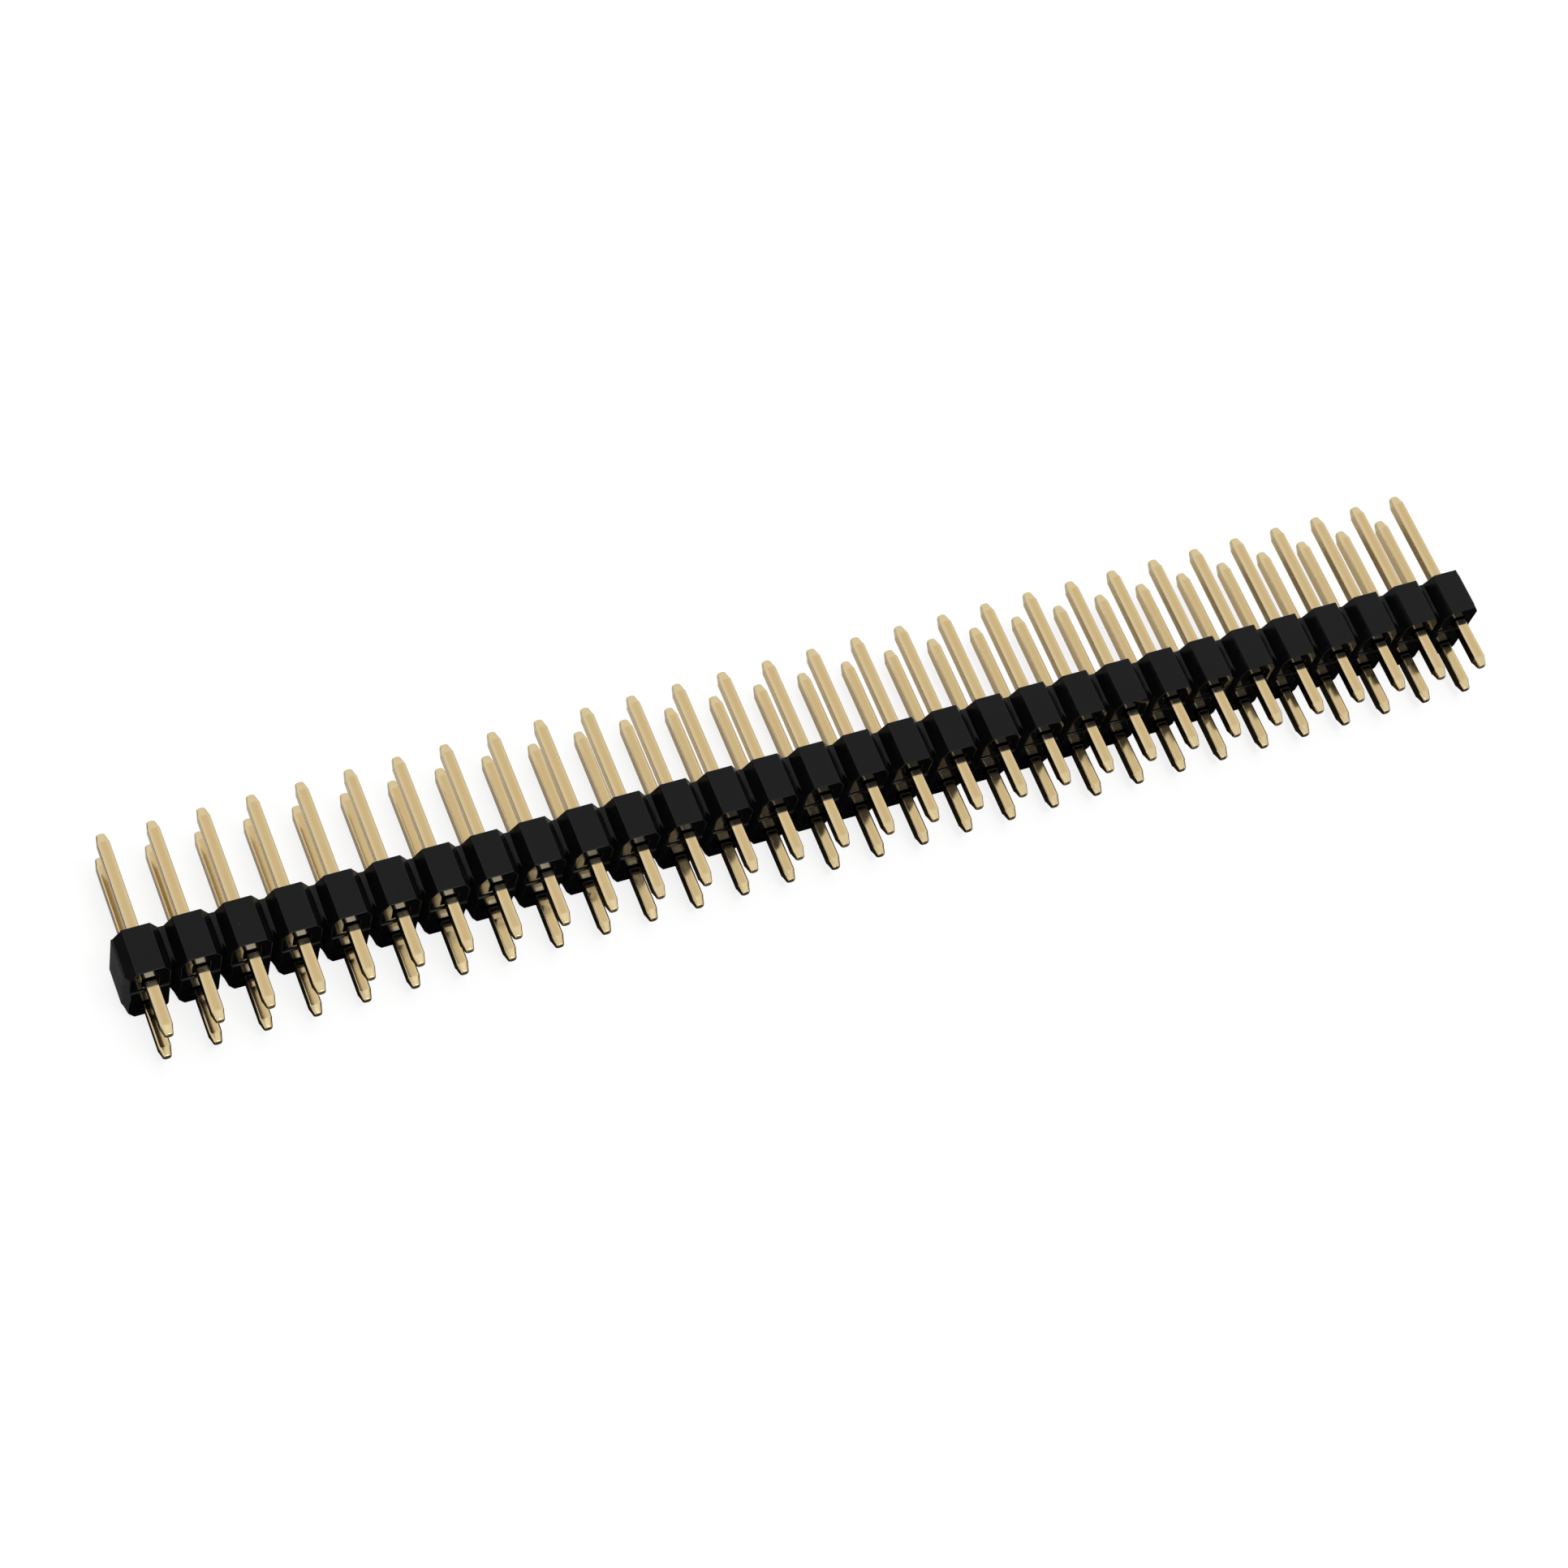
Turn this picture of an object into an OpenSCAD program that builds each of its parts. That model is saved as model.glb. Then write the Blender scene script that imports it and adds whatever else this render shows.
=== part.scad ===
// Breakaway double-row pin header strip.
// One moulded insulator carries two rows of square pins. It is drawn with the
// pins upright and then laid on its rear flats, long mating pins towards +Y.

/* [Strip] */
// Number of pin positions along the strip
positions = 30; // [2:1:40]
// Distance between neighbouring positions
pitch = 2.54; // [2:0.01:3.2]
// Distance between the two rows of pins
row_pitch = 2.54; // [2:0.01:3.2]
// How far each end face stands back from the break line
end_trim = 0.05; // [0:0.01:0.1]

/* [Insulator] */
// Height of the moulding along the pins
body_h = 2.5; // [1.5:0.05:4]
// From the centre of a row of pins to the flat face beside it
pin_to_face = 1.15; // [0.9:0.05:1.8]
// Width of the flat face of one position
face_w = 1.4; // [1:0.05:1.6]
// Width of the flat at the bottom of a side notch
notch_floor = 0.26; // [0.1:0.02:0.34]
// Depth of a side notch below the flat faces
notch_depth = 0.75; // [0.4:0.05:1]
// Depth of the break groove across the board side
groove_depth = 0.7; // [0.3:0.05:0.9]
// Opening angle of the break groove
groove_angle = 40; // [30:5:60]

/* [Board side] */
// Height of the standoff rib between the rows
rib_h = 0.1; // [0.05:0.05:0.3]
// Width of the standoff rib
rib_w = 1; // [0.4:0.05:1.1]
// Gap between a pin and its relief pocket
pocket_gap = 0.12; // [0.05:0.01:0.2]
// Depth of the relief pocket
pocket_depth = 0.2; // [0.1:0.05:0.5]

/* [Pins] */
// Side of the square pin
pin_w = 0.64; // [0.5:0.01:0.8]
// Solder tail, from the board side of the moulding to its end
tail_len = 3; // [2:0.1:5]
// Mating pin, from the top of the moulding to its end
post_len = 5.7; // [4:0.1:9]
// Length of the coined point at each end
point_len = 0.5; // [0.2:0.05:0.8]
// Side of the flat left on the end of a point
point_w = 0.36; // [0.15:0.01:0.48]
// Bevel along the four long edges of a pin
edge_bevel = 0.05; // [0.02:0.01:0.1]

/* [Hidden] */
// Length by which a cutter passes the surface that it cuts
past = 0.5;
strip_len = positions * pitch - 2 * end_trim;
body_d = row_pitch + 2 * pin_to_face;
groove_half = groove_depth * tan(groove_angle / 2);
rows = [-row_pitch / 2, row_pitch / 2];

function pins_node(i) = str("pins_", i < 10 ? "0" : "", i);
// Centre of position i, counted from 1, along the strip
function along(i) = (i - (positions + 1) / 2) * pitch;
// Break lines, one between each two positions and one at each end
function break_line(i) = (i - positions / 2) * pitch;

// One side of the moulding seen along the pins: flat, slope, notch floor, slope
function side_profile() = [
    for (i = [1 : positions])
        for (p = [
            [-pitch / 2 + notch_floor / 2, body_d / 2 - notch_depth],
            [-face_w / 2, body_d / 2],
            [face_w / 2, body_d / 2],
            [pitch / 2 - notch_floor / 2, body_d / 2 - notch_depth]
        ])
            [along(i) + p.x, p.y]
];

function reversed(list) = [for (i = [len(list) - 1 : -1 : 0]) list[i]];

// Chain of octagons, trimmed square at the two ends
module outline() {
    side = side_profile();
    shelf = body_d / 2 - notch_depth;
    end = strip_len / 2;
    rear = concat([[-end, shelf]], side, [[end, shelf]]);
    polygon(concat(rear, [for (p = reversed(rear)) [p.x, -p.y]]));
}

module at_each_pin() {
    for (i = [1 : positions], y = rows)
        translate([along(i), y]) children();
}

// Rectangle on the strip's centre line, as long as the strip
module centre_band(width) {
    square([strip_len, width], center = true);
}

// Vee across the board side at every break line
module break_grooves() {
    half = groove_half * (groove_depth + rib_h + past) / groove_depth;
    for (i = [0 : positions])
        translate([break_line(i), body_d / 2 + past, groove_depth])
            rotate([90, 0, 0])
                linear_extrude(body_d + 2 * past)
                    polygon([[0, 0], [-half, -groove_depth - rib_h - past],
                        [half, -groove_depth - rib_h - past]]);
}

// Relief around the root of each solder tail
module relief_pockets() {
    translate([0, 0, -past])
        linear_extrude(past + pocket_depth)
            at_each_pin() square(pin_w + 2 * pocket_gap, center = true);
}

module insulator() {
    color([0.13, 0.13, 0.135])
        difference() {
            union() {
                linear_extrude(body_h)
                    difference() {
                        outline();
                        at_each_pin() square(pin_w, center = true);
                    }
                translate([0, 0, -rib_h])
                    linear_extrude(rib_h) centre_band(rib_w);
            }
            relief_pockets();
            break_grooves();
        }
}

// Side view of a pin, both ends brought in to the flat of the point
module pin_profile() {
    top = body_h + post_len;
    polygon([
        [-point_w / 2, -tail_len], [point_w / 2, -tail_len],
        [pin_w / 2, -tail_len + point_len], [pin_w / 2, top - point_len],
        [point_w / 2, top], [-point_w / 2, top],
        [-pin_w / 2, top - point_len], [-pin_w / 2, -tail_len + point_len]
    ]);
}

// Square section with its four corners bevelled
module pin_section() {
    intersection() {
        square(pin_w, center = true);
        rotate(45) square((pin_w - edge_bevel) * sqrt(2), center = true);
    }
}

module pin() {
    color([0.84, 0.75, 0.58])
        intersection() {
            translate([0, 0, -tail_len])
                linear_extrude(tail_len + body_h + post_len) pin_section();
            upright_profile();
            rotate(90) upright_profile();
        }
}

module upright_profile() {
    rotate([90, 0, 0])
        translate([0, 0, -pin_w])
            linear_extrude(2 * pin_w) pin_profile();
}

// The two pins of one position
module pin_pair(i) {
    for (y = rows)
        translate([along(i), y, 0]) pin();
}

// Lays the upright strip on its rear flats, midway along its pins
module laid_down() {
    middle = (body_h + post_len - tail_len) / 2;
    translate([0, -middle, body_d / 2]) rotate([-90, 0, 0]) children();
}

laid_down() insulator();
for (i = [1 : positions])
    laid_down() pin_pair(i);
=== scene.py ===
import math

import bmesh
import bpy
import numpy as np
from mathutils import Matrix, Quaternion, Vector


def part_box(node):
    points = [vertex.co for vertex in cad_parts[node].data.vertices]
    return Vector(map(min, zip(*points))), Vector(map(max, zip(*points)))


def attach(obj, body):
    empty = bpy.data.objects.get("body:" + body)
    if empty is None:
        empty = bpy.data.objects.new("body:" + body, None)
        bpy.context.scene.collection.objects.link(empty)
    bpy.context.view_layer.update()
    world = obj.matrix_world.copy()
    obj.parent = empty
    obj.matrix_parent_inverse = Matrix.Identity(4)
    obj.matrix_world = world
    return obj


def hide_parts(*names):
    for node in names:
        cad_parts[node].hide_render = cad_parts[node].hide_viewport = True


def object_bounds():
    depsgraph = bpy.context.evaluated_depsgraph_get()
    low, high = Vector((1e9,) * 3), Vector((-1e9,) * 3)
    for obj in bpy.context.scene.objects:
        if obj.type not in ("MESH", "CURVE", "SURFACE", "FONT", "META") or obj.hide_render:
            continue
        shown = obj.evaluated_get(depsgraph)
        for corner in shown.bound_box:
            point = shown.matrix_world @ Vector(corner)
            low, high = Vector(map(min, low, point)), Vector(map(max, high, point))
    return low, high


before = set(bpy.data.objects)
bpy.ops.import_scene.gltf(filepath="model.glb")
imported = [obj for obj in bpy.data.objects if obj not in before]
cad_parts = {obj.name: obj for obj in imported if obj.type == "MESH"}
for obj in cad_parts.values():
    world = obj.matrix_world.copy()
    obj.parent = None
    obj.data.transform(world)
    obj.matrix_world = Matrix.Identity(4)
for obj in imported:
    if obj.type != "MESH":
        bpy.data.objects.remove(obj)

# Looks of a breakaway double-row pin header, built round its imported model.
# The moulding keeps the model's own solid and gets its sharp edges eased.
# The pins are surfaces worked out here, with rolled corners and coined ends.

CAD_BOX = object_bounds()
MM = 0.001

# ---------------------------------------------------------------- sizes, metres
PIN_NODES = sorted(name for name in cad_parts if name.startswith("pins_"))
STRIP_LOW, STRIP_HIGH = CAD_BOX
MOULD_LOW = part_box("insulator")[0]
PAIR_LOW, PAIR_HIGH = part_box(PIN_NODES[0])

PIN_W = PAIR_HIGH.x - PAIR_LOW.x
TAIL_END = PAIR_LOW.y
POST_END = PAIR_HIGH.y
ROWS = (PAIR_LOW.z + PIN_W / 2, PAIR_HIGH.z - PIN_W / 2)

# The moulding's lowest Y is its standoff rib, which stands this far off the board side's face.
RIB_H = 0.1 * MM
BOARD_FACE = MOULD_LOW.y + RIB_H

# Rounding along a pin's four long edges, on the shank and on the coined points
CORNER_R = 0.1 * MM
POINT_CORNER_R = 0.15 * MM
# Coined point: its length, the full width of its end, and the rounding round the cut.
# Its end is a little fuller than the model's.
POINT_LEN = 0.5 * MM
POINT_W = 0.42 * MM
CROWN_R = 0.05 * MM
# Half the length over which the shank turns into the point
SHOULDER_LEN = 0.06 * MM
# A tail narrows from a neck's length outside the moulding to a little inside it, where the
# model's tails are straight.
NECK_LEN = 0.44 * MM
NECK_INSIDE = 0.1 * MM
NECK_LEAN = math.radians(2.0)

# Bevel on the moulding's edges, and the least angle between faces that it eases
EASED_EDGE = 0.04 * MM
EASED_STEPS = 2
EASED_ANGLE = math.radians(25)
# Its corners closer than this are merged, and its faces within this angle are joined
WELD = 0.0001 * MM
FLAT_ANGLE = math.radians(0.5)


# ---------------------------------------------------------------- node helpers
def node(tree, kind, **settings):
    """Adds a node and sets what is named: its own properties, or its sockets by name."""
    made = tree.nodes.new(kind)
    for name, value in settings.items():
        if hasattr(made, name):
            setattr(made, name, value)
        else:
            made.inputs[name.replace("_", " ")].default_value = value
    return made


def wire(tree, source, target):
    tree.links.new(source, target)


def math_node(tree, operation, first, second=None, third=None):
    """One Math node; each of its inputs is a socket or a plain number."""
    made = node(tree, "ShaderNodeMath", operation=operation)
    for socket, value in zip(made.inputs, (first, second, third)):
        if value is None:
            continue
        if isinstance(value, bpy.types.NodeSocket):
            wire(tree, value, socket)
        else:
            socket.default_value = value
    return made.outputs[0]


def blend_colour(tree, mask, first, second):
    """Mixes two colours, each a socket or an RGB triple, by a mask."""
    made = node(tree, "ShaderNodeMix", data_type="RGBA")
    wire(tree, mask, made.inputs["Factor"])
    for index, value in ((6, first), (7, second)):
        if isinstance(value, bpy.types.NodeSocket):
            wire(tree, value, made.inputs[index])
        else:
            made.inputs[index].default_value = (*value, 1.0)
    return made.outputs[2]


def ramp(tree, value, low, high, to_low=0.0, to_high=1.0):
    """Smoothly maps value from low..high to to_low..to_high."""
    made = node(tree, "ShaderNodeMapRange", interpolation_type="SMOOTHSTEP")
    made.inputs["From Min"].default_value = low
    made.inputs["From Max"].default_value = high
    made.inputs["To Min"].default_value = to_low
    made.inputs["To Max"].default_value = to_high
    wire(tree, value, made.inputs["Value"])
    return made.outputs["Result"]


def new_group(name, inputs, outputs):
    """A shader node group with (name, kind, default) inputs and (name, kind) outputs."""
    tree = bpy.data.node_groups.new(name, "ShaderNodeTree")
    for label, kind, default in inputs:
        socket = tree.interface.new_socket(label, in_out="INPUT", socket_type=kind)
        socket.default_value = default
    for label, kind in outputs:
        tree.interface.new_socket(label, in_out="OUTPUT", socket_type=kind)
    return tree, tree.nodes.new("NodeGroupInput"), tree.nodes.new("NodeGroupOutput")


def use_group(tree, group, **settings):
    """Places a group in a material and sets its inputs by name, colours as RGB triples."""
    made = node(tree, "ShaderNodeGroup", node_tree=group)
    for name, value in settings.items():
        socket = made.inputs[name.replace("_", " ")]
        socket.default_value = (*value, 1.0) if socket.type == "RGBA" else value
    return made


def place_in_mm(tree, stretch=None):
    """Object coordinates in millimetres, times an optional stretch vector socket."""
    place = node(tree, "ShaderNodeTexCoord").outputs["Object"]
    scale = node(tree, "ShaderNodeVectorMath", operation="SCALE")
    scale.inputs["Scale"].default_value = 1 / MM
    wire(tree, place, scale.inputs[0])
    if stretch is None:
        return scale.outputs[0]
    times = node(tree, "ShaderNodeVectorMath", operation="MULTIPLY")
    wire(tree, scale.outputs[0], times.inputs[0])
    wire(tree, stretch, times.inputs[1])
    return times.outputs[0]


# ---------------------------------------------------------------- shared effects
# Cosines to the nearest main way between which a surface comes to count as an edge
EDGE_TURN = (0.995, 0.93)


def build_tone_drift():
    """Slow change between two colours over the surface."""
    tree, given, out = new_group(
        "tone_drift",
        [("Main", "NodeSocketColor", (0.5, 0.5, 0.5, 1)),
         ("Other", "NodeSocketColor", (0.4, 0.4, 0.4, 1)),
         ("Per mm", "NodeSocketFloat", 0.5),
         ("Share", "NodeSocketFloat", 0.5)],
        [("Colour", "NodeSocketColor")],
    )
    cloud = node(tree, "ShaderNodeTexNoise", Detail=2.0)
    wire(tree, place_in_mm(tree), cloud.inputs["Vector"])
    wire(tree, given.outputs["Per mm"], cloud.inputs["Scale"])
    patch = ramp(tree, cloud.outputs["Fac"], 0.35, 0.65)
    share = math_node(tree, "MULTIPLY", patch, given.outputs["Share"])
    colour = blend_colour(tree, share, given.outputs["Main"], given.outputs["Other"])
    wire(tree, colour, out.inputs["Colour"])
    return tree


def build_fine_grain():
    """Fine surface grain, stretched along any axis: a height and a tone, both about 0.5."""
    tree, given, out = new_group(
        "fine_grain",
        [("Per mm", "NodeSocketFloat", 8.0),
         ("Stretch", "NodeSocketVector", (1, 1, 1))],
        [("Height", "NodeSocketFloat"), ("Tone", "NodeSocketFloat")],
    )
    place = place_in_mm(tree, given.outputs["Stretch"])
    fine = node(tree, "ShaderNodeTexNoise", Detail=3.0, Roughness=0.6)
    wire(tree, place, fine.inputs["Vector"])
    wire(tree, given.outputs["Per mm"], fine.inputs["Scale"])
    coarse = node(tree, "ShaderNodeTexNoise", Detail=1.0)
    wire(tree, place, coarse.inputs["Vector"])
    wire(tree, math_node(tree, "MULTIPLY", given.outputs["Per mm"], 0.22), coarse.inputs["Scale"])
    half = math_node(tree, "MULTIPLY", coarse.outputs["Fac"], 0.5)
    both = math_node(tree, "MULTIPLY_ADD", fine.outputs["Fac"], 0.5, half)
    wire(tree, both, out.inputs["Height"])
    wire(tree, ramp(tree, coarse.outputs["Fac"], 0.3, 0.7), out.inputs["Tone"])
    return tree


def build_wear_sheen_edge():
    """Mask of the eased edges, found where the surface faces none of the part's main ways; it marks
    where edges are lightened, partly as wear and partly as a painted highlight.

    The main ways are the three axes and Slant, mirrored to every side. Breakup is the share
    of the mask that is lost in patches."""
    tree, given, out = new_group(
        "wear_sheen_edge",
        [("Slant", "NodeSocketVector", (0, 0, 1)),
         ("Breakup", "NodeSocketFloat", 0.5)],
        [("Mask", "NodeSocketFloat")],
    )
    facing = node(tree, "ShaderNodeTexCoord").outputs["Normal"]
    size = node(tree, "ShaderNodeVectorMath", operation="ABSOLUTE")
    wire(tree, facing, size.inputs[0])
    parts = node(tree, "ShaderNodeSeparateXYZ")
    wire(tree, size.outputs[0], parts.inputs[0])
    along_slant = node(tree, "ShaderNodeVectorMath", operation="DOT_PRODUCT")
    wire(tree, size.outputs[0], along_slant.inputs[0])
    wire(tree, given.outputs["Slant"], along_slant.inputs[1])
    most = math_node(tree, "MAXIMUM", parts.outputs["X"], parts.outputs["Y"])
    most = math_node(tree, "MAXIMUM", most, parts.outputs["Z"])
    most = math_node(tree, "MAXIMUM", most, along_slant.outputs["Value"])
    edge = ramp(tree, most, *EDGE_TURN)
    patchy = node(tree, "ShaderNodeTexNoise", Scale=2.2, Detail=3.0)
    wire(tree, place_in_mm(tree), patchy.inputs["Vector"])
    kept = ramp(tree, patchy.outputs["Fac"], 0.35, 0.6)
    gap = math_node(tree, "SUBTRACT", 1.0, kept)
    loss = math_node(tree, "MULTIPLY", gap, given.outputs["Breakup"])
    left = math_node(tree, "SUBTRACT", 1.0, loss)
    wire(tree, math_node(tree, "MULTIPLY", edge, left), out.inputs["Mask"])
    return tree


def build_specks():
    """Small scattered spots: Density is the share of cells that hold one, Size its radius in cells."""
    tree, given, out = new_group(
        "specks",
        [("Per mm", "NodeSocketFloat", 2.0),
         ("Density", "NodeSocketFloat", 0.1),
         ("Size", "NodeSocketFloat", 0.12)],
        [("Mask", "NodeSocketFloat")],
    )
    cells = node(tree, "ShaderNodeTexVoronoi", feature="F1")
    wire(tree, place_in_mm(tree), cells.inputs["Vector"])
    wire(tree, given.outputs["Per mm"], cells.inputs["Scale"])
    near = math_node(tree, "DIVIDE", cells.outputs["Distance"], given.outputs["Size"])
    spot = ramp(tree, near, 1.0, 0.5)
    draw = node(tree, "ShaderNodeSeparateColor")
    wire(tree, cells.outputs["Color"], draw.inputs[0])
    chosen = math_node(tree, "LESS_THAN", draw.outputs[0], given.outputs["Density"])
    wire(tree, math_node(tree, "MULTIPLY", spot, chosen), out.inputs["Mask"])
    return tree


TONE_DRIFT = build_tone_drift()
FINE_GRAIN = build_fine_grain()
WEAR_SHEEN_EDGE = build_wear_sheen_edge()
SPECKS = build_specks()


# ---------------------------------------------------------------- finishes
def new_material(name):
    material = bpy.data.materials.new(name)
    material.use_nodes = True
    tree = material.node_tree
    return material, tree, tree.nodes["Principled BSDF"]


def bump(tree, shader, height, distance, strength):
    """Feeds a height to the shader's normal."""
    made = node(tree, "ShaderNodeBump", Strength=strength, Distance=distance)
    wire(tree, height, made.inputs["Height"])
    wire(tree, made.outputs["Normal"], shader.inputs["Normal"])


BLACK_RESIN = (0.0022, 0.0023, 0.0027)
BLACK_RESIN_COOL = (0.0028, 0.0031, 0.0036)
# Lighter eased edges: partly wear, partly a painted highlight
WEAR_SHEEN_RESIN = (0.010, 0.010, 0.011)
FIBRE_SPECK = (0.035, 0.035, 0.033)
RESIN_SPECULAR = 0.155
RESIN_ROUGHNESS = (0.19, 0.27)
# The board and mating sides are smoother by this much, which comes in over this Y of the normal
POLISH = 0.12
POLISHED_Y = (0.6, 0.95)
RESIN_GRAIN = 0.004 * MM
# Way in which a notch's wall faces, without its signs
NOTCH_WALL = (0.8626, 0.0, 0.5059)


def moulded_resin():
    """Black glass-filled resin: satin sides with fine grain, glossier board and mating sides."""
    material, tree, shader = new_material("moulded_resin")
    shader.inputs["Specular IOR Level"].default_value = RESIN_SPECULAR
    drift = use_group(tree, TONE_DRIFT, Main=BLACK_RESIN, Other=BLACK_RESIN_COOL, Per_mm=0.35, Share=1.0)
    edge = use_group(tree, WEAR_SHEEN_EDGE, Slant=NOTCH_WALL, Breakup=0.7)
    speck = use_group(tree, SPECKS, Per_mm=2.4, Density=0.05, Size=0.09)
    # The eased edges are lighter, partly as wear and partly as a painted highlight.
    wear_and_sheen = blend_colour(tree, edge.outputs["Mask"], drift.outputs["Colour"], WEAR_SHEEN_RESIN)
    colour = blend_colour(tree, speck.outputs["Mask"], wear_and_sheen, FIBRE_SPECK)
    wire(tree, colour, shader.inputs["Base Color"])

    grain = use_group(tree, FINE_GRAIN, Per_mm=9.0, Stretch=(1, 1, 1))
    facing = node(tree, "ShaderNodeSeparateXYZ")
    wire(tree, node(tree, "ShaderNodeTexCoord").outputs["Normal"], facing.inputs[0])
    polished = ramp(tree, math_node(tree, "ABSOLUTE", facing.outputs["Y"]), *POLISHED_Y)
    satin = ramp(tree, grain.outputs["Tone"], 0.0, 1.0, *RESIN_ROUGHNESS)
    gloss = math_node(tree, "MULTIPLY", polished, POLISH)
    wire(tree, math_node(tree, "SUBTRACT", satin, gloss), shader.inputs["Roughness"])
    bump(tree, shader, grain.outputs["Height"], distance=RESIN_GRAIN, strength=0.35)
    return material


GOLD_FACE = (0.600, 0.455, 0.225)
# Painted highlight: the pins' rounded corners are paler, standing for the brighter surround that they
# reflect.
GOLD_CORNER_SHEEN = (0.660, 0.530, 0.310)
GOLD_WARM = (0.610, 0.440, 0.215)
# Painted highlight: the coined points are paler, standing for the light that their facets catch.
GOLD_POINT_SHEEN = (0.668, 0.543, 0.310)
CUT_METAL = (0.300, 0.190, 0.090)
TARNISH = (0.220, 0.120, 0.050)
GOLD_ROUGHNESS = (0.09, 0.15)
CUT_ROUGHNESS = 0.5
DRAW_LINE = 0.003 * MM
# A tail's root is painted darker as shade, with a painted black shadow line next to the board side;
# lengths in millimetres
ROOT_SHADE = (0.370, 0.320, 0.225)
ROOT_SHADE_LEN = 0.42
ROOT_SHADE_FADE = 0.04
# Painted shadow: a near-black band on a tail next to the board side
ROOT_SHADOW_LINE = (0.020, 0.017, 0.014)
SHADOW_LINE_LEN = 0.10
SHADOW_LINE_FADE = 0.02
# Depths inside the moulding between which both fade out
ROOT_INSIDE = (0.6, 0.3)


def near_board(tree, length, fade):
    """Mask of a solder tail's root, from inside the moulding to length outside it, in millimetres."""
    place = node(tree, "ShaderNodeSeparateXYZ")
    wire(tree, place_in_mm(tree), place.inputs[0])
    board = BOARD_FACE / MM
    outside = ramp(tree, place.outputs["Y"], board - length - fade, board - length + fade)
    deep, shallow = ROOT_INSIDE
    inside = ramp(tree, place.outputs["Y"], board + deep, board + shallow)
    return math_node(tree, "MULTIPLY", outside, inside)


def plated_gold():
    """Thin gold over brass: draw lines along the pin, painted highlights over corners and points, bare
    cut ends, and painted shade with a painted shadow line at a tail's root.
    """
    material, tree, shader = new_material("plated_gold")
    shader.inputs["Metallic"].default_value = 1.0
    drift = use_group(tree, TONE_DRIFT, Main=GOLD_FACE, Other=GOLD_WARM, Per_mm=0.6, Share=0.8)
    corner = node(tree, "ShaderNodeAttribute", attribute_name="corner")
    point = node(tree, "ShaderNodeAttribute", attribute_name="point")
    cut = node(tree, "ShaderNodeAttribute", attribute_name="cut")
    pit = use_group(tree, SPECKS, Per_mm=1.1, Density=0.02, Size=0.1)
    lines = use_group(tree, FINE_GRAIN, Per_mm=9.0, Stretch=(1, 0.06, 1))
    # Painted highlight over the pins' rounded corners
    colour = blend_colour(tree, corner.outputs["Fac"], drift.outputs["Colour"], GOLD_CORNER_SHEEN)
    # Painted highlight over the coined points
    colour = blend_colour(tree, point.outputs["Fac"], colour, GOLD_POINT_SHEEN)
    colour = blend_colour(tree, cut.outputs["Fac"], colour, CUT_METAL)
    # Painted shade: a tail's root is darker next to the moulding
    colour = blend_colour(tree, near_board(tree, ROOT_SHADE_LEN, ROOT_SHADE_FADE), colour, ROOT_SHADE)
    # Painted shadow: a near-black line on a tail where it leaves the board side
    colour = blend_colour(tree, near_board(tree, SHADOW_LINE_LEN, SHADOW_LINE_FADE), colour, ROOT_SHADOW_LINE)
    colour = blend_colour(tree, pit.outputs["Mask"], colour, TARNISH)
    wire(tree, colour, shader.inputs["Base Color"])
    satin = ramp(tree, lines.outputs["Tone"], 0.0, 1.0, *GOLD_ROUGHNESS)
    torn = math_node(tree, "MULTIPLY", cut.outputs["Fac"], CUT_ROUGHNESS)
    wire(tree, math_node(tree, "MAXIMUM", satin, torn), shader.inputs["Roughness"])
    bump(tree, shader, lines.outputs["Height"], distance=DRAW_LINE, strength=0.3)
    return material


# ---------------------------------------------------------------- moulding
def eased_moulding(material):
    """The model's moulding, merged, with its sharp edges rounded by a narrow bevel.

    The weighted normals keep its flat faces flat in the light."""
    mesh = bpy.data.meshes.new("header_moulding")
    shape = bmesh.new()
    shape.from_mesh(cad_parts["insulator"].data)
    bmesh.ops.remove_doubles(shape, verts=shape.verts, dist=WELD)
    bmesh.ops.dissolve_limit(shape, angle_limit=FLAT_ANGLE, verts=shape.verts, edges=shape.edges)
    for face in shape.faces:
        face.smooth = True
        face.material_index = 0
    shape.to_mesh(mesh)
    shape.free()
    mesh.materials.append(material)
    piece = bpy.data.objects.new("header_moulding", mesh)
    bpy.context.scene.collection.objects.link(piece)
    bevel = piece.modifiers.new("eased_edges", "BEVEL")
    bevel.width = EASED_EDGE
    bevel.segments = EASED_STEPS
    bevel.limit_method = "ANGLE"
    bevel.angle_limit = EASED_ANGLE
    shading = piece.modifiers.new("flat_faces", "WEIGHTED_NORMAL")
    shading.mode = "FACE_AREA"
    shading.weight = 100
    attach(piece, "root")
    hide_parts("insulator")


# ---------------------------------------------------------------- pins
# A ring round a pin has this many points on each corner, and marks on each face between the
# corners, as shares of the way from its middle to a corner.
CORNER_STEPS = 5
FACE_MARKS = (-0.45, 0.45)
# The crown is rounded up to this lean, counts as cut from the next one, and has this many rings.
CROWN_TURN = math.radians(80)
CUT_FROM = math.radians(60)
CROWN_STEPS = 4
# Largest share of the half width that a corner's rounding takes
ROUND_SHARE = 0.98


def pin_section():
    """Rounded square round a pin, as three unit arrays.

    A point is (half - r) * seat + r * way, where seat is the corner's own place and way the
    direction in which the surface faces there. Corner is 1 on the corners and 0 on the faces."""
    seat, way, corner = [], [], []
    for quarter in range(4):
        turn = quarter * math.pi / 2
        spin = np.array([[math.cos(turn), -math.sin(turn)], [math.sin(turn), math.cos(turn)]])
        for mark in FACE_MARKS:
            seat.append(spin @ (1, mark))
            way.append(spin @ (1, 0))
            corner.append(0.0)
        for angle in np.linspace(0, math.pi / 2, CORNER_STEPS):
            seat.append(spin @ (1, 1))
            way.append(spin @ (math.cos(angle), math.sin(angle)))
            corner.append(1.0)
    return np.array(seat), np.array(way), np.array(corner)


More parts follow.
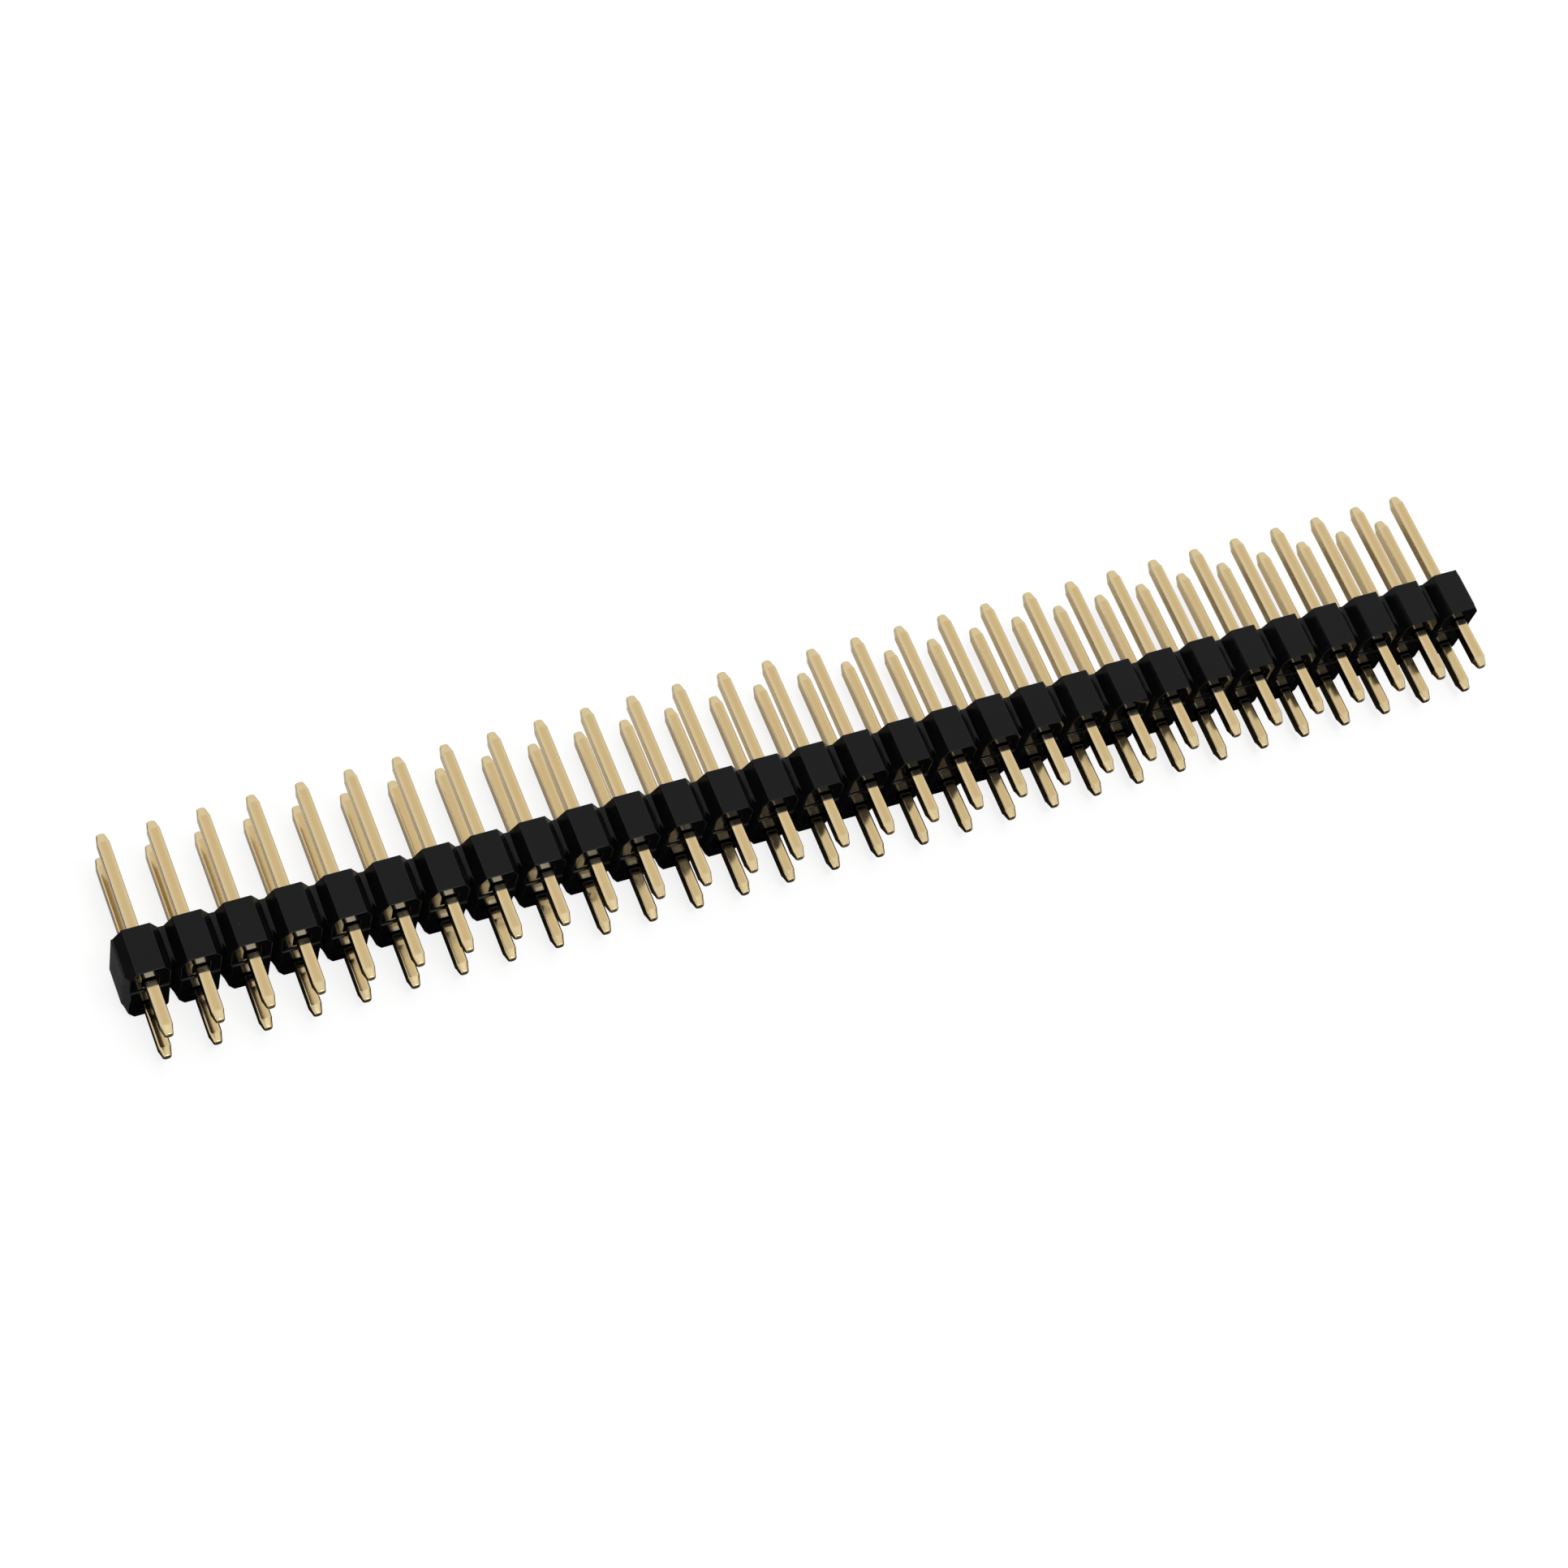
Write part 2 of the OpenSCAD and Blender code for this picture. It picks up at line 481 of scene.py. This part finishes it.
def coined_end():
    """Rings of a coined end, from the shank outwards, as one array for each measure.

    The measures are distance from the end, half width, corner radius, lean, point and cut.
    The half width falls in a straight line from the shank to the crown, and then as a part
    of a circle to the flat that the cutter left. Lean is the angle by which the surface
    faces the end, and it is eased from 0 over the shoulder."""
    slope = math.atan2((PIN_W - POINT_W) / 2, POINT_LEN)
    rise = np.array([0.0, 0.5, 1.0])
    shoulder = POINT_LEN + SHOULDER_LEN * (1 - 2 * rise)
    straight = np.concatenate([shoulder, [POINT_LEN / 2, CROWN_R]])
    crown = np.linspace(slope, CROWN_TURN, CROWN_STEPS)
    gone = np.concatenate([straight, CROWN_R * (1 - np.sin(crown))])
    on_taper = PIN_W / 2 - np.clip(POINT_LEN - straight, 0, None) * math.tan(slope)
    on_crown = POINT_W / 2 - CROWN_R * (1 - np.cos(crown))
    half = np.concatenate([on_taper, on_crown])
    lean = np.concatenate([slope * rise, [slope, slope], crown])
    # the shank's own rounding lasts to the middle of the shoulder
    radius = np.minimum(POINT_CORNER_R, half * ROUND_SHARE)
    radius[:2] = CORNER_R
    point = np.clip((POINT_LEN + SHOULDER_LEN - gone) / (2 * SHOULDER_LEN), 0, 1)
    cut = np.where(lean > CUT_FROM, 1.0, 0.0)
    return gone, half, radius, lean, point, cut


def tail_neck():
    """Rings of a tail's neck, towards +Y.

    The half width falls in a straight line to just inside the moulding, and is full again
    as much further in."""
    narrow = PIN_W / 2 - (NECK_LEN + NECK_INSIDE) * math.tan(NECK_LEAN)
    return np.array([
        [BOARD_FACE - NECK_LEN - SHOULDER_LEN, PIN_W / 2, CORNER_R, 0, 0, 0],
        [BOARD_FACE - NECK_LEN, PIN_W / 2, CORNER_R, NECK_LEAN, 0, 0],
        [BOARD_FACE + NECK_INSIDE, narrow, CORNER_R, NECK_LEAN, 0, 0],
        [BOARD_FACE + 2 * NECK_INSIDE, PIN_W / 2, CORNER_R, 0, 0, 0],
    ])


def pin_stations():
    """Rings of a whole pin, from its tail to its post.

    A ring is its Y, half width, corner radius, lean towards +Y, point and cut."""
    gone, half, radius, lean, point, cut = coined_end()
    tail = np.stack([TAIL_END + gone, half, radius, -lean, point, cut], 1)[::-1]
    post = np.stack([POST_END - gone, half, radius, lean, point, cut], 1)
    return np.concatenate([tail, tail_neck(), post])


def ring_faces(rings, count):
    """Faces between neighbouring rings, and a fan onto a middle point at each end.

    Point k of ring j has the index j * count + k, and the two middle points follow the rings."""
    ring = np.arange(rings - 1)[:, None] * count
    step = np.arange(count)
    beside = (step + 1) % count
    quads = np.stack([ring + step, ring + count + step, ring + count + beside, ring + beside], -1)
    first_fan = np.stack([step, beside, np.full(count, rings * count)], -1)
    last = (rings - 1) * count
    last_fan = np.stack([last + beside, last + step, np.full(count, rings * count + 1)], -1)
    return quads.reshape(-1, 4), first_fan, last_fan


def pin_surface(centre_x, centre_z):
    """One pin as a grid of rings: its points, the way it faces at each, its faces and masks.

    The pin's section is drawn in X and Z at each ring's Y, and the way in which it faces
    there is turned along Y by the ring's lean. Each end is closed by a middle point."""
    seat, way, corner = pin_section()
    place, half, radius, lean, point, cut = pin_stations().T
    rings, count = len(place), len(seat)
    flat = (half - radius)[:, None, None] * seat + radius[:, None, None] * way
    grid = np.empty((rings, count, 3))
    grid[..., 0] = centre_x + flat[..., 0]
    grid[..., 1] = place[:, None]
    grid[..., 2] = centre_z + flat[..., 1]
    facing = np.empty_like(grid)
    facing[..., 0] = np.cos(lean)[:, None] * way[:, 0]
    facing[..., 1] = np.sin(lean)[:, None]
    facing[..., 2] = np.cos(lean)[:, None] * way[:, 1]
    ends = np.array([[centre_x, TAIL_END, centre_z], [centre_x, POST_END, centre_z]])
    points = np.concatenate([grid.reshape(-1, 3), ends])
    normals = np.concatenate([facing.reshape(-1, 3), [(0, -1, 0), (0, 1, 0)]])
    masks = {
        "corner": np.concatenate([np.tile(corner, rings), [0, 0]]),
        "point": np.concatenate([np.repeat(point, count), [1, 1]]),
        "cut": np.concatenate([np.repeat(cut, count), [1, 1]]),
    }
    return points, normals, ring_faces(rings, count), masks


def pin_pair(name, material):
    """The two pins of one position as one piece, in place of the model's pair."""
    low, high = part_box(name)
    centre_x = (low.x + high.x) / 2
    pins = [pin_surface(centre_x, centre_z) for centre_z in ROWS]
    points, normals, blocks, masks = zip(*pins)
    faces, start = [], 0
    for own_points, own_blocks in zip(points, blocks):
        for block in own_blocks:
            faces += (block + start).tolist()
        start += len(own_points)
    mesh = bpy.data.meshes.new(name.replace("pins", "contact_pair"))
    mesh.from_pydata(np.concatenate(points).tolist(), [], faces)
    for mask in masks[0]:
        values = np.concatenate([own_masks[mask] for own_masks in masks])
        layer = mesh.attributes.new(mask, "FLOAT", "POINT")
        layer.data.foreach_set("value", values.astype(np.float32))
    mesh.polygons.foreach_set("use_smooth", np.ones(len(mesh.polygons), bool))
    mesh.normals_split_custom_set_from_vertices(np.concatenate(normals).tolist())
    mesh.materials.append(material)
    piece = bpy.data.objects.new(mesh.name, mesh)
    bpy.context.scene.collection.objects.link(piece)
    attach(piece, "root")
    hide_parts(name)


# ---------------------------------------------------------------- studio
FLOOR_HALF = 1.0
FLOOR_DROP = 0.01 * MM
# The floor's grey and its own glow as the camera sees them, and its grey in other rays
FLOOR_SHOWN = 0.22
FLOOR_GLOW = 0.83
FLOOR_PALE = 0.75
# Glow that gloss sees in it, which comes in between these distances from the part
FAR_GLOW = 0.32
NEAR_REACH = (0.02, 0.07)
# Level of the surround where it only lights
AMBIENT = 0.30

# Black card: past the strip's ends to the left and right, in front of the moulding and under it
CARD_LEFT = 4 * MM
CARD_RIGHT = 10 * MM
CARD_FRONT = 12 * MM
CARD_UNDER = 2.4 * MM
CARD_BLACK = 0.02
CARD_GREY = 0.30
# It turns from black to grey between these distances in front of the moulding, in millimetres.
CARD_TURN = (3.6, 4.6)

# End card: its left edge, and its gap, from the strip's left end, and its reach along Y
END_LEFT = 60 * MM
END_GAP = 0.05 * MM
END_ALONG = (-14 * MM, 30 * MM)
END_GLOW = 0.11

# Grey flag: its X, its height, and its reach to -Y as shares of that height
FLAG_ACROSS = (-0.35, 0.45)
FLAG_HEIGHT = 0.40
FLAG_FROM = 0.28
FLAG_TO = 1.6
FLAG_GLOW = 0.6

# Camera: its way and distance from its aim, its roll, and its aim from the strip's middle
VIEW_AZIMUTH = math.radians(-40.32)
VIEW_ELEVATION = math.radians(59.82)
VIEW_ROLL = math.radians(20.98)
VIEW_DISTANCE = 185.5 * MM
VIEW_AIM = Vector((-2.54, -0.81, 0)) * MM
SENSOR_MM = 36.0
LENS_MM = 82.6


def seen_mask(tree, path):
    """1 for rays from the camera, from gloss and through clear material."""
    seen = math_node(tree, "MAXIMUM", path.outputs["Is Camera Ray"], path.outputs["Is Glossy Ray"])
    return math_node(tree, "MAXIMUM", seen, path.outputs["Is Transmission Ray"])


def studio_world():
    """White where it is seen, and a plain dim ambient light for everything else."""
    world = bpy.data.worlds.new("studio")
    world.use_nodes = True
    bpy.context.scene.world = world
    tree = world.node_tree
    background = tree.nodes["Background"]
    background.inputs["Color"].default_value = (1, 1, 1, 1)
    seen = seen_mask(tree, node(tree, "ShaderNodeLightPath"))
    level = math_node(tree, "MULTIPLY_ADD", seen, 1 - AMBIENT, AMBIENT)
    wire(tree, level, background.inputs["Strength"])


def floor_finish():
    """Pale floor: it takes the part's shadow, and glows to white where it is seen.

    Reflections show its own lit and shaded colour close by, and white far off."""
    material, tree, shader = new_material("studio_floor")
    tree.nodes.remove(shader)
    path = node(tree, "ShaderNodeLightPath")
    direct = path.outputs["Is Camera Ray"]
    matt = node(tree, "ShaderNodeBsdfDiffuse")
    shade = blend_colour(tree, direct, (FLOOR_PALE,) * 3, (FLOOR_SHOWN,) * 3)
    wire(tree, shade, matt.inputs["Color"])
    far = ramp(tree, path.outputs["Ray Length"], *NEAR_REACH, to_high=FAR_GLOW)
    reflected = math_node(tree, "MULTIPLY", seen_mask(tree, path), far)
    shown = math_node(tree, "MULTIPLY", direct, FLOOR_GLOW)
    glow = node(tree, "ShaderNodeEmission")
    wire(tree, math_node(tree, "MAXIMUM", shown, reflected), glow.inputs["Strength"])
    both = node(tree, "ShaderNodeAddShader")
    wire(tree, matt.outputs[0], both.inputs[0])
    wire(tree, glow.outputs[0], both.inputs[1])
    wire(tree, both.outputs[0], tree.nodes["Material Output"].inputs["Surface"])
    return material


def level_plane(name, x_span, y_span, z, material):
    """A level rectangle of the studio."""
    low_x, high_x = x_span
    low_y, high_y = y_span
    corners = [(low_x, low_y, z), (high_x, low_y, z), (high_x, high_y, z), (low_x, high_y, z)]
    mesh = bpy.data.meshes.new(name)
    mesh.from_pydata(corners, [], [(0, 1, 2, 3)])
    mesh.materials.append(material)
    made = bpy.data.objects.new(name, mesh)
    bpy.context.scene.collection.objects.link(made)
    return made


def studio_floor():
    """The floor, a hair below the strip."""
    span = (-FLOOR_HALF, FLOOR_HALF)
    level_plane("floor", span, span, STRIP_LOW.z - FLOOR_DROP, floor_finish())


def unseen_card(name, x_span, y_span, z, material):
    """A level card that only reflections show."""
    card = level_plane(name, x_span, y_span, z, material)
    card.visible_camera = False
    card.visible_diffuse = False
    card.visible_shadow = False


def glowing_grey(name, level):
    """A grey of that level, whatever the light."""
    material, tree, shader = new_material(name)
    tree.nodes.remove(shader)
    glow = node(tree, "ShaderNodeEmission", Strength=level)
    wire(tree, glow.outputs[0], tree.nodes["Material Output"].inputs["Surface"])
    return material


def black_card():
    """A dark card laid in front of the board side, which keeps that side black.

    It turns paler well out from the strip."""
    material, tree, shader = new_material("black_card")
    shader.inputs["Specular IOR Level"].default_value = 0.0
    place = node(tree, "ShaderNodeSeparateXYZ")
    wire(tree, place_in_mm(tree), place.inputs[0])
    front = MOULD_LOW.y / MM
    near, far = CARD_TURN
    paler = ramp(tree, place.outputs["Y"], front - near, front - far)
    shade = blend_colour(tree, paler, (CARD_BLACK,) * 3, (CARD_GREY,) * 3)
    wire(tree, shade, shader.inputs["Base Color"])
    x_span = (STRIP_LOW.x - CARD_LEFT, STRIP_HIGH.x + CARD_RIGHT)
    y_span = (MOULD_LOW.y - CARD_FRONT, MOULD_LOW.y + CARD_UNDER)
    unseen_card("black_card", x_span, y_span, STRIP_LOW.z - FLOOR_DROP / 2, material)


def end_card():
    """A dim card laid out to the left, which the strip's end and its slope show."""
    x_span = (STRIP_LOW.x - END_LEFT, STRIP_LOW.x - END_GAP)
    dim = glowing_grey("dim_card", END_GLOW)
    unseen_card("end_card", x_span, END_ALONG, STRIP_LOW.z - FLOOR_DROP / 4, dim)


def grey_flag():
    """A grey flag above the key lamp, which shows as a bright patch on it.

    It hangs level over the board side, so the tops of the pins still see the white surround."""
    y_span = (-FLAG_HEIGHT * FLAG_TO, -FLAG_HEIGHT * FLAG_FROM)
    grey = glowing_grey("flag_grey", FLAG_GLOW)
    unseen_card("grey_flag", FLAG_ACROSS, y_span, FLAG_HEIGHT, grey)


def softbox(name, way, distance, sides, level, in_gloss):
    """A lamp along way from the strip's middle, of that level on a surface facing it.

    Only the key lamp is seen in gloss: elsewhere reflections show the white surround."""
    lamp = bpy.data.lights.new(name, "AREA")
    lamp.shape = "RECTANGLE"
    lamp.size, lamp.size_y = sides
    lamp.energy = level * (math.pi * distance) ** 2
    made = bpy.data.objects.new(name, lamp)
    bpy.context.scene.collection.objects.link(made)
    way = Vector(way).normalized()
    made.location = (STRIP_LOW + STRIP_HIGH) / 2 + way * distance
    made.rotation_mode = "QUATERNION"
    made.rotation_quaternion = way.to_track_quat("Z", "Y")
    made.visible_glossy = in_gloss


def camera():
    """A long lens from above and to the left, rolled so that the strip climbs to the right."""
    aside = math.cos(VIEW_ELEVATION)
    back = Vector((
        math.sin(VIEW_AZIMUTH) * aside,
        -math.cos(VIEW_AZIMUTH) * aside,
        math.sin(VIEW_ELEVATION),
    ))
    data = bpy.data.cameras.new("view")
    data.sensor_width = SENSOR_MM
    data.lens = LENS_MM
    data.clip_start = 0.001
    data.clip_end = 10.0
    made = bpy.data.objects.new("view", data)
    bpy.context.scene.collection.objects.link(made)
    made.location = (STRIP_LOW + STRIP_HIGH) / 2 + VIEW_AIM + back * VIEW_DISTANCE
    made.rotation_mode = "QUATERNION"
    roll = Quaternion((0, 0, 1), VIEW_ROLL)
    made.rotation_quaternion = (-back).to_track_quat("-Z", "Y") @ roll
    bpy.context.scene.camera = made


# ---------------------------------------------------------------- making
bpy.context.scene.view_settings.view_transform = "Standard"
camera()
studio_world()
studio_floor()
black_card()
end_card()
grey_flag()
softbox("key_lamp", way=(0.038, -0.300, 0.954), distance=0.345, sides=(0.136, 0.090),
        level=0.36, in_gloss=True)
softbox("top_lamp", way=(0.15, 0.25, 0.95), distance=0.60, sides=(0.45, 0.45),
        level=0.35, in_gloss=False)

eased_moulding(moulded_resin())
gold = plated_gold()
for pair in PIN_NODES:
    pin_pair(pair, gold)
